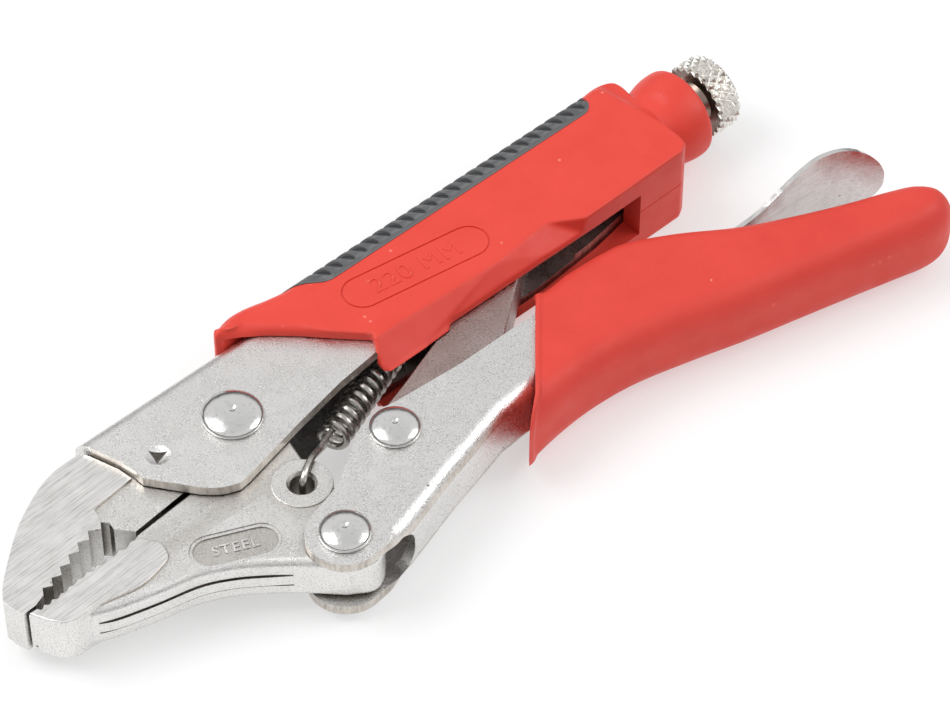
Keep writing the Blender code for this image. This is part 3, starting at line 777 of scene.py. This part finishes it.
def build_moving_jaw():
    """Forging with a wide ground nose, a mark field, the spring's boss and the handle's eye."""
    upper = [(-62.7, -10.95), (-60.6, -11)] + moving_teeth() + [(-35.6, -10.3), (-33.6, -9.6)]
    belly = through([(-13.2, -38.3), (-19.2, -33.1), (-24.8, -29), (-31, -25.9), (-40, -23.7),
                     (-48.5, -21.2), (-53.5, -18.9)], 8)
    tip = [(-56.6, -18.6), (-59, -17.6), (-61, -14.8)]
    body = upper + [(-20, -8.2)] + arc(JAW_PIVOT, HUB_RADIUS, 222, -35, 48)
    body += [(5.6, -12.6), (4.2, -18.6), (4.5, -24), (4.2, -36)]
    for turn in range(-10, -140, -4):
        reach = JAW_EYE_RADIUS + 1.8 * smoothstep((turn + 120) / 50)
        body.append((HANDLE_PIVOT[0] + reach * math.cos(math.radians(turn)),
                     HANDLE_PIVOT[1] + reach * math.sin(math.radians(turn))))
    body = (body + belly + tip)[::-1]
    radii = [1.8 if near_run(belly, (x, y)) or y < -41 else 0.3 if x < -33 else 0.8
             for x, y in body]
    web = rounded_slab(body, TANG, radii)
    flash = prism(fading_run(belly, -0.1, 0.3)[::-1] + offset_run(belly, -3), -1.3, 1.3)
    nose = upper[:-1] + [(-34, -10.6)]
    nose += through([(-31.4, -14.6), (-32.6, -18.4), (-36.5, -19.9), (-42, -20.6), (-49, -19.2),
                     (-53.5, -18.6)], 8) + tip
    boss = eased(rod(SPRING_HOLE, 6.5, -TANG - 0.28, TANG + 0.28), 0.25, 2)
    shape = joined(web, eased(prism(nose, -NOSE, NOSE), 0.35, 3), boss, flash)
    holes = [rod(SPRING_HOLE, 2.6, -12, 12)]
    for side in (1, -1):
        groove = offset_run(belly, 0.6)[::-1] + fading_run(belly, 0.12, -0.3)
        holes.append(one_side(groove, side, 1.3, 1.8))
        middle = side * TANG
        holes.append(rod(SPRING_HOLE, 3 - side * 0.5, middle - 0.5, middle + 0.5,
                         end_radius=3 + side * 0.5))
        holes.append(one_side(oval(JAW_MARK, 19.5, 8.8, -25), side, TANG - 0.5, TANG + 1.5))
    rim = cut(prism(oval(JAW_MARK, 19.5, 8.8, -25), -TANG + 0.3, TANG - 0.2),
              prism(oval(JAW_MARK, 17.9, 7.2, -25), -TANG - 1, TANG + 1))
    shape = joined(cut(shape, *holes), rim)
    raised_mark("jaw_raised_mark", "STEEL", 3.6, JAW_MARK, -25, TANG - 0.5, 0.3, "jaw",
                FORGED)
    # The belly grooves take the near-black painted shade.
    add("moving_jaw_forging", shape, "jaw", FORGED, ["moving_jaw"],
        accents=[(GROUND, is_ground), (EDGE_AND_PAINTED_STEP_SHADE, is_step_wall),
                 (PAINTED_HOLLOW_SHADE, lambda centre, normal: 1.25 < abs(centre.z) < 1.85
                  and not -41 < centre.x < -27 and near_run(belly, centre, 0.55))])


# --- moving handle, toggle link and release lever ---

HANDLE_BACK = [(11, -45.6), (24, -41.6), (43, -36.6), (53, -36), (65, -37), (78, -39.5),
               (92, -43), (104, -46.6), (117, -49.9), (130, -53), (143, -56.4), (149.5, -58)]
HANDLE_MOUTH = [(141, -45), (130, -40.2), (118, -34.2), (108, -27.6), (100, -23), (91, -20.6),
                (78, -20.2), (65, -21.2), (45, -21.1), (29, -19.9), (22.8, -19.2)]


def build_moving_handle():
    """Folded channel with two ears round the jaw's eye and an open mouth for link and lever."""
    start = [(0.8, -47.3), (4.2, -47.2), (9, -46.2)]
    outline = arc(HANDLE_PIVOT, EAR_RADIUS, 100, 280, 40) + through(start, 6)
    outline += HANDLE_BACK + [(150.4, -55.5), (149.5, -48.6)]
    outline += HANDLE_MOUTH + [(16, -20.9), (10, -24.8), (4, -28.8)]
    inner = offset_run(HANDLE_BACK, SHEET)
    inside = [(-40, -43.8), (9.6, -43.8)] + inner[1:] + [(170, inner[-1][1]), (170, 0), (-40, 0)]
    reach = CHANNEL_IN - 4.8
    notch = [(-CHANNEL_IN, -40), (CHANNEL_IN, -40)] + arc((reach, 4.7), 4.8, 10, 90, 12)
    notch += arc((-reach, 4.7), 4.8, 90, 170, 12)
    notch = along_y(prism(notch, -70, -42.6))
    radii = [3.4 * smoothstep((x - 0.5) / 5) if near_run(start + HANDLE_BACK, (x, y), 0.5)
             else 1.9 if x > 70 else 0 for x, y in outline]
    shape = cut(rounded_slab(outline, CHANNEL_OUT, radii),
                prism(inside, -CHANNEL_IN, CHANNEL_IN), notch)
    shape = eased(shape, 0.42, 3)
    add("moving_handle_shell", shape, "handle", HANDLE_PLATE, ["moving_handle"],
        accents=[(EDGE_AND_PAINTED_STEP_SHADE, is_cut_edge)])


def build_toggle_link():
    """A thick bar whose rounded nose rests on the screw's tip."""
    outline = arc(LINK_PIVOT, LINK_EYE_RADIUS, 107, 285, 32)
    outline += [(50, -26), (54, -24.4), (58, -20.1)]
    outline += arc(LINK_NOSE, LINK_NOSE_RADIUS, -53, 120, 24)
    outline += [(52, -9), (33, -15.6)]
    shape = eased(prism(outline, -LINK_HALF, LINK_HALF), 0.5, 3)
    add("toggle_link_bar", shape, "link", LINK_PAINTED_SHADE_AND_REFLECTION, ["toggle_link"])


def build_release_lever():
    """A bent strip: nose under the link, rolled eye on its pin, and a leaf-shaped thumb pad."""
    middle = through([(59.5, -27.4), (70, -27), (LEVER_PIVOT[0], LEVER_PIVOT[1] + 2.6), (92, -27.4),
                      (105, -29.4), (118, -30.1), (130, -30.6), (138, -30.7), (143, -31.15),
                      (148, -32.6), (152, -34.5), (155, -36.5), (157, -38.2)], 8)
    half = 0.55
    strip = prism(offset_run(middle, half) + offset_run(middle, -half)[::-1], -11, 11)
    side = [(-4.2, 50), (-4.2, 112)]
    side += through([(-4.3, 119), (-5.2, 124.5), (-8.2, 132.5), (-10.2, 140), (-10.5, 145.5),
                     (-9.7, 149.6), (-7.8, 152.9), (-5.2, 155.1), (-2.4, 156.2), (-0.5, 156.4)], 6)
    outline = side + [(-z, x) for z, x in side[::-1]]
    shape = combined(strip, along_y(prism(outline, -50, -20)), "INTERSECT")
    eye = rod(LEVER_PIVOT, 3.7, -4.2, 4.2)
    shape = eased(joined(shape, eye), 0.25, 2)
    add("release_lever_strip", shape, "lever", STRIP, ["release_lever"])


# --- rivets, screw, bush and spring ---

def build_rivet(node, place, head, shank, body):
    """A shank with a domed head on each side plate, and a small centre mark on each dome."""
    seat, rim = CHANNEL_OUT + 0.05, 0.55
    dome = [(0, RIVET_TOP - 0.35), (0.5, RIVET_TOP - 0.28), (0.8, RIVET_TOP - 0.03)]
    for i in range(1, 13):
        angle = math.radians(90 * i / 12)
        radius = head * math.sin(angle)
        if radius > 0.9:
            dome.append((radius, seat + rim + (RIVET_TOP - seat - rim) * math.cos(angle)))
    upper = dome + [(head - 0.02, seat + 0.2), (head - 0.25, seat), (shank, seat)]
    shape = revolved(upper + [(radius, -height) for radius, height in upper[::-1]], (*place, 0))
    add(node + "_head", shape, body, RIVET, [node], sharp=50)


def tooth(t):
    """A triangle wave between 0 and 1."""
    return 1 - abs(2 * (t % 1) - 1)


def ring(x, radii):
    """Points round the screw's axis at x, at one radius or at one for each point."""
    if not isinstance(radii, list):
        radii = [radii] * (KNURLS * KNURL_POINTS)
    angles = [math.tau * i / len(radii) for i in range(len(radii))]
    return [(x, SCREW_Y + radius * math.cos(angle), radius * math.sin(angle))
            for radius, angle in zip(radii, angles)]


def knurled_band():
    """The knob's band of small pyramids, where two families of helical grooves cross."""
    rings, rows = [], 48
    for j in range(rows + 1):
        x = KNOB_START + (KNOB_END - KNOB_START) * j / rows
        edge = min(x - KNOB_START, KNOB_END - x)
        v = (x - KNOB_START) / (2 * math.pi * KNOB_RADIUS / KNURLS) / 1.25
        radii = []
        for i in range(KNURLS * KNURL_POINTS):
            u = i / KNURL_POINTS
            ridge = min(tooth(u + v), tooth(u - v))
            radii.append(KNOB_RADIUS - 0.85 * (1 - ridge) - 0.2 * (1 - smoothstep(edge / 0.45)))
        rings.append(ring(x, radii))
    return rings


def build_screw():
    """Threaded shank and knurled knob in one turned piece."""
    front = [ring(94.7, 0.05), ring(94.7, SCREW_RADIUS - 1), ring(95.7, SCREW_RADIUS)]
    x = THREAD_START
    while x < THREAD_END:
        front += [ring(x, SCREW_RADIUS - 0.02), ring(x + THREAD_PITCH / 2, SCREW_RADIUS - 0.6)]
        x += THREAD_PITCH
    front += [ring(116, SCREW_RADIUS), ring(KNOB_START - 0.6, SCREW_RADIUS),
              ring(KNOB_START + 0.5, 5.2), ring(KNOB_START + 0.9, 6.4),
              ring(KNOB_START + 0.1, KNOB_RADIUS - 0.9)]
    end = [ring(KNOB_END, KNOB_RADIUS - 0.9), ring(KNOB_END, 6), ring(KNOB_END - 0.3, 5.6),
           ring(KNOB_END - 0.3, 0.05)]
    shape = lofted(front + knurled_band() + end)
    # The knob's front face and the shank take the dark brown painted shade.
    add("adjusting_screw_turned", shape, "screw", KNURL, ["adjusting_screw"], sharp=28,
        accents=[(PAINTED_RECESS_SHADE, lambda centre, normal: centre.x < KNOB_START + 1 and normal.x < -0.3
                  or centre.x < KNOB_START)])


def build_bush():
    """The screw's flanged guide in the end of the frame."""
    start, end, bore = 116, 138.3, 4.9
    profile = [(bore, start), (5.2, start), (5.2, FRAME_END + 0.3), (8, FRAME_END + 0.3),
               (8, end - 0.9), (7.7, end - 0.35), (7.1, end), (bore + 0.8, end), (bore, end - 0.6),
               (bore, start)]
    shape = revolved(profile, (0, SCREW_Y, 0), "X")
    add("screw_bush_turned", shape, "frame", PAINTED_RECESS_SHADE, ["screw_bush"], sharp=40)


def build_spring():
    """A close coil with a straight hook wire at each end."""
    start, end = Vector((15, -13.5, 0)), Vector((46, -1.6, 0))
    turns, steps, radius = 14, 26, 2.9
    axis = (end - start).normalized()
    side = Vector((0, 0, 1)).cross(axis)
    front = [(0, -22.2, -3.5), (0, -22, 4.2), (1.2, -21.2, 6.5), (5, -18.9, 6.5),
             (9.5, -16.6, 4.6)]
    coil = []
    for i in range(turns * steps + 1):
        angle = 2 * math.pi * i / steps
        centre = start.lerp(end, i / (turns * steps))
        wind = Vector((0, 0, 1)) * math.cos(angle) + side * math.sin(angle)
        coil.append(tuple(centre + wind * radius))
    rear = [(50.5, 2, 1.4), (54.5, 7.5, 0.3), (56.6, 11.5, 0), (57, 13.6, 0), (57, 16.4, 0)]
    wire = through(front, 6) + coil + through(rear, 6)
    curve = bpy.data.curves.new("return_spring", "CURVE")
    curve.dimensions = "3D"
    curve.bevel_depth = 0.75
    curve.bevel_resolution = 3
    curve.use_fill_caps = True
    add("return_spring_wire", meshed(curve, wire), "frame", WIRE, ["return_spring"])


# --- grips ---

def build_fixed_grip():
    """Moulded grip over the frame, open along its mouth, with a collar round the screw."""
    back = through([(11.8, 20.4), (16, 21.7), (20.5, 21.6), (26, 20.3), (30.5, GRIP_BACK)], 6)
    back += [(60, GRIP_BACK), (114, GRIP_BACK)]
    back += through([(118, 19.6), (121.5, 19.9), (125, 19.4), (127.2, 18), (127.8, 15.5)], 5)
    lower = [(124.8, -5.6), (124, -8), (121.8, -9.3), (96, -9.8), (52.4, -9.6), (50.8, -11),
             (44.6, -11.2), (38, -11.3), (34, -11.2), (33, -10.2), (33.4, -7.4)]
    mouth = [(35.4, -3.9), (29.2, 2.6), (24.8, 7.4), (19.6, 12.4), (15, 15.4), (10.6, 18.4)]
    outline = (back + lower + mouth)[::-1]
    shape = rounded_slab(outline, GRIP_HALF, [grip_radius(x, y) for x, y in outline])
    top, room = FRAME_BACK + 0.3, CHANNEL_OUT + 0.3
    inside = [(-40, -30), (30, -30), (32, -7.6), (82, -7.5), (99, -6.1), (110, -4.2),
              (FRAME_END + 0.3, -1.4), (FRAME_END + 0.3, top), (-40, top)]
    slot = [(20, -40), (109, -40), (109, -3), (20, -3)]
    flare = through([(8.9, 122), (9, 126), (9.35, 128.4), (9.95, 130.4), (10.5, 132.4),
                     (10.8, 134.6), (10.8, 136.7), (10.5, 137.6), (9.8, 138)], 4)
    collar = revolved([(0, 120), (8.9, 120)] + flare + [(0, 138)], (0, SCREW_Y, 0), "X")
    shape = moulded(cut(joined(cut(shape, *facets()), collar), *waists()), 0.4, 6)
    shape = cut(shape, prism(inside, -room, room), prism(slot, -6.8, 5.5),
                rod((SCREW_Y, 0), 8.3, 110, 150, "X"), insert_skin(1.08, 1.35))
    for side in (1, -1):
        line = one_side(oval(GRIP_MARK, 36.4, 9.4, -9), side, GRIP_HALF - 0.28, GRIP_HALF + 1)
        middle = one_side(oval(GRIP_MARK, 35.4, 8.4, -9), side, GRIP_HALF - 1.28, GRIP_HALF + 2)
        shape = cut(shape, cut(line, middle))
    shape = cut(shape, prism([(96, -11), (132, -11), (132, -8.4), (96, -9.5)], -0.14, 0.14))
    add("fixed_grip_moulding", shape, "frame", RED, ["fixed_grip"], sharp=50)
    raised_mark("grip_raised_mark", "220 MM", 6.2, GRIP_MARK, -9, GRIP_HALF - 0.05, 0.34,
                "frame", RED)


def grip_radius(x, y):
    """How far the grip's rim is rounded at a point of its outline."""
    if y > 14.4 and x > 12:
        return BACK_RADIUS
    if x < 29 and y > -8:
        return 1.9
    return 0.8 if x > 124 else 0.2


def waists():
    """Two slanted scoops that lead the flat sides down to the collar."""
    scoops = []
    for side in (1, -1):
        scoop = turned(rod((0, 0), 6, -30, 30, "Y", 96), 9, "Z")
        scoops.append(shifted(scoop, (127.4, SCREW_Y, side * 15)))
    return scoops


def insert_section(x, proud, depth):
    """A C-shaped section of the insert at x: it wraps the grip's back and narrows to its ends."""
    front = smoothstep((x - INSERT_START) / 10)
    rear = min(1, (INSERT_END - x) / 4)
    low = 19 - 5.5 * front * math.sqrt(max(0, 1 - (1 - rear) ** 2))
    side = []
    for k in range(17):
        y = low + (GRIP_BACK - low) * (1 - (1 - k / 16) ** 2)
        across = max(0, y - BEND_Y)
        side.append((y, BEND_Z + math.sqrt(max(0, BACK_RADIUS ** 2 - across ** 2))))
    upper, lower = [], []
    for y, z in side + [(y, -z) for y, z in side[::-1]]:
        slope = outward(y, z)
        upper.append((x, y + slope.x * proud, z + slope.y * proud))
        lower.append((x, y - slope.x * depth, z - slope.y * depth))
    return upper + lower[::-1]


def outward(y, z):
    """The grip's surface normal in the YZ plane."""
    if y <= BEND_Y:
        return Vector((0, math.copysign(1, z)))
    return Vector((y - BEND_Y, z - math.copysign(BEND_Z, z))).normalized()


def insert_skin(proud, depth):
    """The insert's solid, from proud of the grip's surface to a depth under it."""
    rings, steps = [], 60
    for i in range(steps + 1):
        t = 0.5 - 0.5 * math.cos(math.pi * i / steps)
        x = INSERT_START + 0.01 + (INSERT_END - INSERT_START - 0.02) * t
        rings.append(insert_section(x, proud, depth))
    return lofted(rings)


def facets():
    """Slanted faces along the lower edges: long ones that end in a kink before the slot's end."""
    sections = [(30, -5.2), (42, -5.2), (69, -6.4), (84.4, -4.9), (92.5, -10)]
    lip, low, near, far = -10.9, -18.9, 5.6, 14
    return [lofted([[(x, ridge, side * (GRIP_HALF + 0.05)), (x, lip, side * near),
                     (x, low, side * near), (x, low, side * far), (x, ridge, side * far)]
                    for x, ridge in sections]) for side in (1, -1)]


def pit(x):
    """Cutter for one slanted oval pit that runs over the insert's back and both its corners."""
    corner = BACK_RADIUS * math.pi / 2
    half, rings, steps = corner + BEND_Z + 0.9, [], 32
    for i in range(steps + 1):
        t = math.sin(math.pi / 2 * (-1 + 2 * i / steps))
        along, side = abs(t) * half, math.copysign(1, t)
        turn = min(max(0, along - BEND_Z), corner) / BACK_RADIUS
        past = max(0, along - BEND_Z - corner)
        normal = Vector((0, math.cos(turn), side * math.sin(turn)))
        place = Vector((x + 0.42 * t * half, BEND_Y - past, side * min(along, BEND_Z)))
        place += normal * (BACK_RADIUS + 0.2)
        size = math.sqrt(max(0.0004, 1 - t ** 8))
        rings.append([place + Vector((1, 0, 0)) * 1.15 * size * math.cos(a)
                      + normal * 1.3 * size * math.sin(a)
                      for a in (math.tau * k / 14 for k in range(14))])
    return lofted(rings)


def is_pit(face_centre, normal):
    """Faces that lie well under the insert's skin; they get the painted pit shade."""
    across = max(0, face_centre.y - BEND_Y)
    beside = max(0, abs(face_centre.z) - BEND_Z)
    return math.hypot(across, beside) < BACK_RADIUS - 0.2 and face_centre.y > 13.8


def build_grip_insert():
    """Rubber band round the grip's back, with a row of slanted oval pits between thin ribs."""
    shape = insert_skin(0.16, 1.3)
    pits, x = [], INSERT_START + 4.6
    while x < INSERT_END - 4:
        pits.append(pit(x))
        x += 3.4
    shape = cut(shape, piled(*pits))
    add("grip_insert_moulding", shape, "frame", RUBBER, ["grip_insert"], sharp=40,
        accents=[(RUBBER_PAINTED_PIT_SHADE, is_pit)])


def build_moving_grip():
    """Dipped sleeve, well rounded all along, with a thin raised lip round its slanted mouth."""
    outline = through([(50, -14.5), (62, -14.9), (72.5, -16), (80, -15.6), (90, -16.2), (96, -17.6),
                       (106, -23), (117.5, -30.8), (129.6, -37), (140.3, -41.8), (149, -45.2),
                       (154.9, -48.2), (158.3, -52.7), (157.4, -57.6), (153.2, -60.3), (147.8, -60.4),
                       (141, -58.7), (129, -55.6), (116.6, -52.5), (104, -49.4), (92, -45.9), (78, -42.3),
                       (67, -41.1), (57, -41.4), (46, -43), (30, -46.5)], 5)[::-1]
    shape = rounded_slab(outline, SLEEVE_HALF, 7.2, 0.78)
    mouth = [(72.6, -10), (71.1, -17.5), (68.6, -20.2), (60.3, -29), (51.1, -38.9), (45.4, -43.4),
             (42, -46.5)]
    kept = prism(mouth + [(42, -80), (200, -80), (200, 5), (72.6, 5)], -20, 20.3)
    band = prism(mouth + offset_run(mouth, -1)[::-1], -20, 20)
    wide = inset_loop(outline, [-0.5] * len(outline))
    lip = combined(rounded_slab(wide, SLEEVE_HALF + 0.4, 7.4, 0.78), band, "INTERSECT")
    shape = moulded(joined(combined(shape, kept, "INTERSECT"), lip), 0.34, 8)
    low = offset_run(HANDLE_BACK[3:], -0.4)
    high = offset_run(HANDLE_MOUTH[:8], -0.4)
    inside = [(30, -38.5)] + low + [(151, -55.5), (150.2, -48.6)] + high + [(30, -18.5)]
    cavity = rounded_slab(inside, CHANNEL_OUT + 0.3, 2.6)
    slot = [(50, -30), (96, -30), (118, -42), (144, -51), (147.5, -45), (147.5, -5), (50, -5)]
    shape = cut(shape, cavity, prism(slot, -5.6, 5.6))
    add("moving_grip_sleeve", shape, "handle", VINYL, ["moving_grip"], sharp=50)


build_fixed_frame()
build_fixed_jaw()
build_moving_jaw()
build_moving_handle()
build_toggle_link()
build_release_lever()
build_rivet("jaw_pivot_rivet", JAW_PIVOT, MAIN_HEAD, 4, "frame")
build_rivet("handle_pivot_rivet", HANDLE_PIVOT, SMALL_HEAD, 3, "handle")
build_rivet("link_rivet", LINK_PIVOT, SMALL_HEAD, 3, "handle")
build_screw()
build_bush()
build_spring()
build_fixed_grip()
build_grip_insert()
build_moving_grip()

for node, finish in (("screw_stop_ring", WIRE), ("lever_rivet", RIVET)):
    for slot in frame["nodes"][node].material_slots:
        slot.material = finish


# --- floor, light and camera ---

def build_stage():
    """A plain sheet of pale paper, a hair under the tool."""
    plane = bmesh.new()
    bmesh.ops.create_grid(plane, x_segments=1, y_segments=1, size=3)
    floor = linked("floor", packed(plane, "floor"))
    floor.location = (0, 0, -0.0002)
    paper = Finish("floor_paper", (0.5, 0.5, 0.5), 0.8, 0)
    paper.shader.inputs["Specular IOR Level"].default_value = 0
    paper.shader.inputs["Emission Color"].default_value = (1, 1, 1, 1)
    paper.shader.inputs["Emission Strength"].default_value = 0.46
    floor.data.materials.append(paper.material)


def softbox(name, place, size, power):
    """A square area light that looks at the tool."""
    light = bpy.data.lights.new(name, "AREA")
    light.shape = "RECTANGLE"
    light.size = light.size_y = size
    light.energy = power
    lamp = linked(name, light)
    lamp.location = place
    lamp.rotation_euler = (-Vector(place)).to_track_quat("-Z", "Y").to_euler()


def build_lights():
    """Studio walls that are dark low down and pale above, and two softboxes."""
    world = bpy.data.worlds.new("studio")
    world.use_nodes = True
    tree = world.node_tree
    height = tree.nodes.new("ShaderNodeSeparateXYZ")
    tree.links.new(tree.nodes.new("ShaderNodeTexCoord").outputs["Generated"], height.inputs[0])
    walls = tree.nodes.new("ShaderNodeValToRGB")
    shades = [(0, 0.5), (0.06, 0.16), (0.26, 0.14), (0.4, 0.95), (0.75, 0.9), (1, 0.8)]
    while len(walls.color_ramp.elements) < len(shades):
        walls.color_ramp.elements.new(0.5)
    for element, (place, grey) in zip(walls.color_ramp.elements, shades):
        element.position = place
        element.color = (grey, grey, grey, 1)
    tree.links.new(height.outputs["Z"], walls.inputs[0])
    tree.links.new(walls.outputs[0], tree.nodes["Background"].inputs["Color"])
    tree.nodes["Background"].inputs["Strength"].default_value = 0.86
    scene = bpy.context.scene
    scene.world = world
    scene.view_settings.view_transform = "Standard"
    softbox("key_softbox", (-0.5, 0.5, 0.9), 0.7, 7)
    softbox("fill_softbox", (0.7, -0.5, 0.7), 0.6, 3)


def build_camera():
    """Stands 48 degrees above the tool, off the jaws' end, with a long lens."""
    elevation, heading = math.radians(48), math.radians(47.5)
    camera = bpy.data.cameras.new("camera")
    camera.lens, camera.sensor_width = 151.58, 36
    camera.clip_start, camera.clip_end = 0.05, 20
    eye = linked("camera", camera)
    eye.location = ORIGIN + Vector((-332.5, -437.4, 634.2)) * MM
    gaze = Vector((math.cos(heading) * math.cos(elevation), math.sin(heading) * math.cos(elevation),
                   -math.sin(elevation)))
    eye.rotation_euler = gaze.to_track_quat("-Z", "Y").to_euler()
    bpy.context.scene.camera = eye


build_stage()
build_lights()
build_camera()
